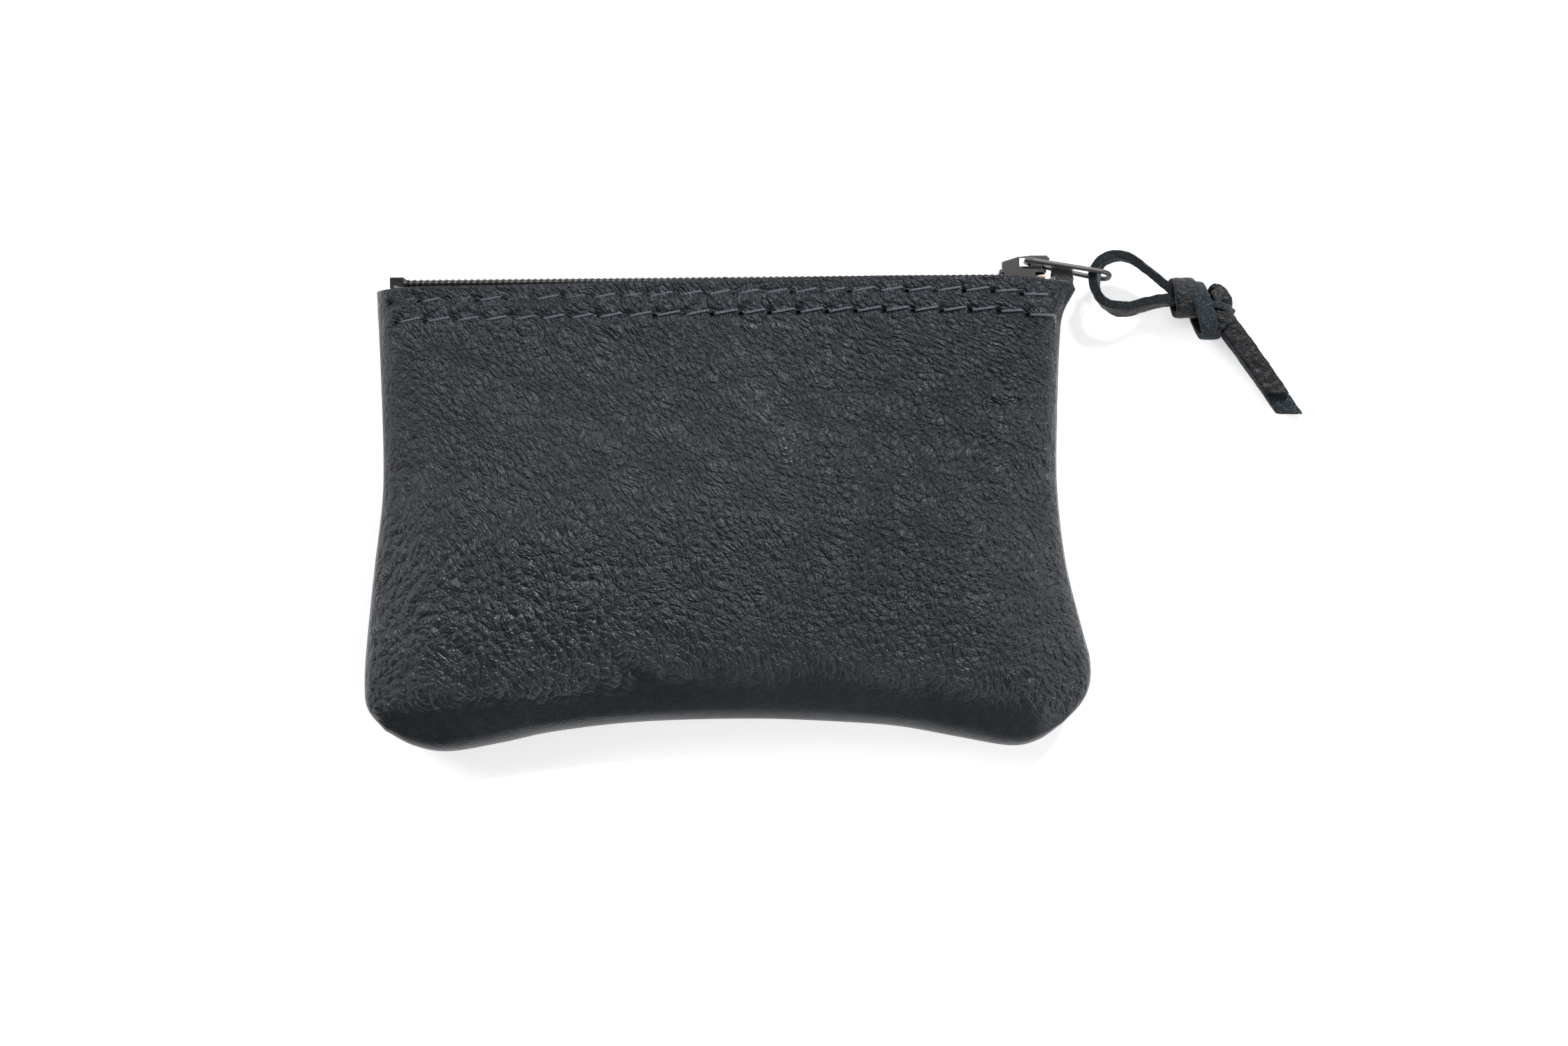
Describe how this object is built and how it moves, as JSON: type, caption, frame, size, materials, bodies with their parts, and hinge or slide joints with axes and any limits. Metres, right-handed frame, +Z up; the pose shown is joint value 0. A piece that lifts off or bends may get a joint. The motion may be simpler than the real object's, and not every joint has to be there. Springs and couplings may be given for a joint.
{
  "type": "coin purse",
  "caption": "Zipped leather coin purse with a turned seam, double stitched mouth, coil zip and a knotted lace on a wire pull.",
  "frame": {"origin": "middle of the flat area under the back panel, which the purse lies on", "axes": "+X along the zip towards its closed end, +Y from the bottom seam to the mouth, +Z up out of the front panel"},
  "size_m": [0.1486, 0.0783, 0.015],
  "materials": {
    "leather": "pebbled, softly polished",
    "lace": "smooth, with raw suede edges",
    "zip_tape": "woven",
    "zip_coil": "glossy nylon",
    "zip_core": "twisted cord",
    "zip_stop": "pressed metal",
    "end_clip": "black enamel",
    "thread": "twisted thread",
    "gunmetal": "polished gunmetal plating"
  },
  "bodies": {
    "back_half": {"back_panel": "leather", "zip_tape_back": "zip_tape", "zip_coil_back": "zip_coil", "zip_core_back": "zip_core", "top_stop_back": "zip_stop", "stitches_back_upper": "thread", "stitches_back_lower": "thread", "seam_thread": "thread", "bottom_stop": "end_clip"},
    "front_half": {"front_panel": "leather", "zip_tape_front": "zip_tape", "zip_coil_front": "zip_coil", "zip_core_front": "zip_core", "top_stop_front": "zip_stop", "stitches_front_upper": "thread", "stitches_front_lower": "thread"},
    "slider": {"slider_body": "gunmetal"},
    "pull": {"pull_wire": "gunmetal"},
    "lace": {"lace_loop": "lace", "lace_knot": "lace", "lace_tail_front": "lace", "lace_tail_back": "lace"}
  },
  "joints": [
    {"name": "slider_slide", "type": "slide", "parent": "back_half", "child": "slider", "axis": [1, 0, 0], "range_m": [-0.0938, 0]},
    {"name": "mouth_open", "type": "hinge", "parent": "back_half", "child": "front_half", "pos_m": [0, -0.0372, 0.006], "axis": [1, 0, 0], "range_deg": [0, 13], "deforming": ["zip_tape_front", "zip_coil_front", "zip_core_front"]},
    {"name": "pull_swing", "type": "hinge", "parent": "slider", "child": "pull", "pos_m": [0.04755, 0.03987, 0.006], "axis": [0, 0, 1], "range_deg": [0, 154]},
    {"name": "lace_swing", "type": "hinge", "parent": "pull", "child": "lace", "pos_m": [0.0606, 0.0373, 0.006], "axis": [0, 0, 1], "range_deg": [-30, 60], "deforming": ["lace_loop", "lace_knot", "lace_tail_front", "lace_tail_back"]}
  ],
  "couplings": [
    {"joint": "mouth_open", "follows": "slider_slide", "rad_per_m": -2.4},
    {"joint": "pull_swing", "follows": "slider_slide", "rad_per_m": -28.5}
  ]
}
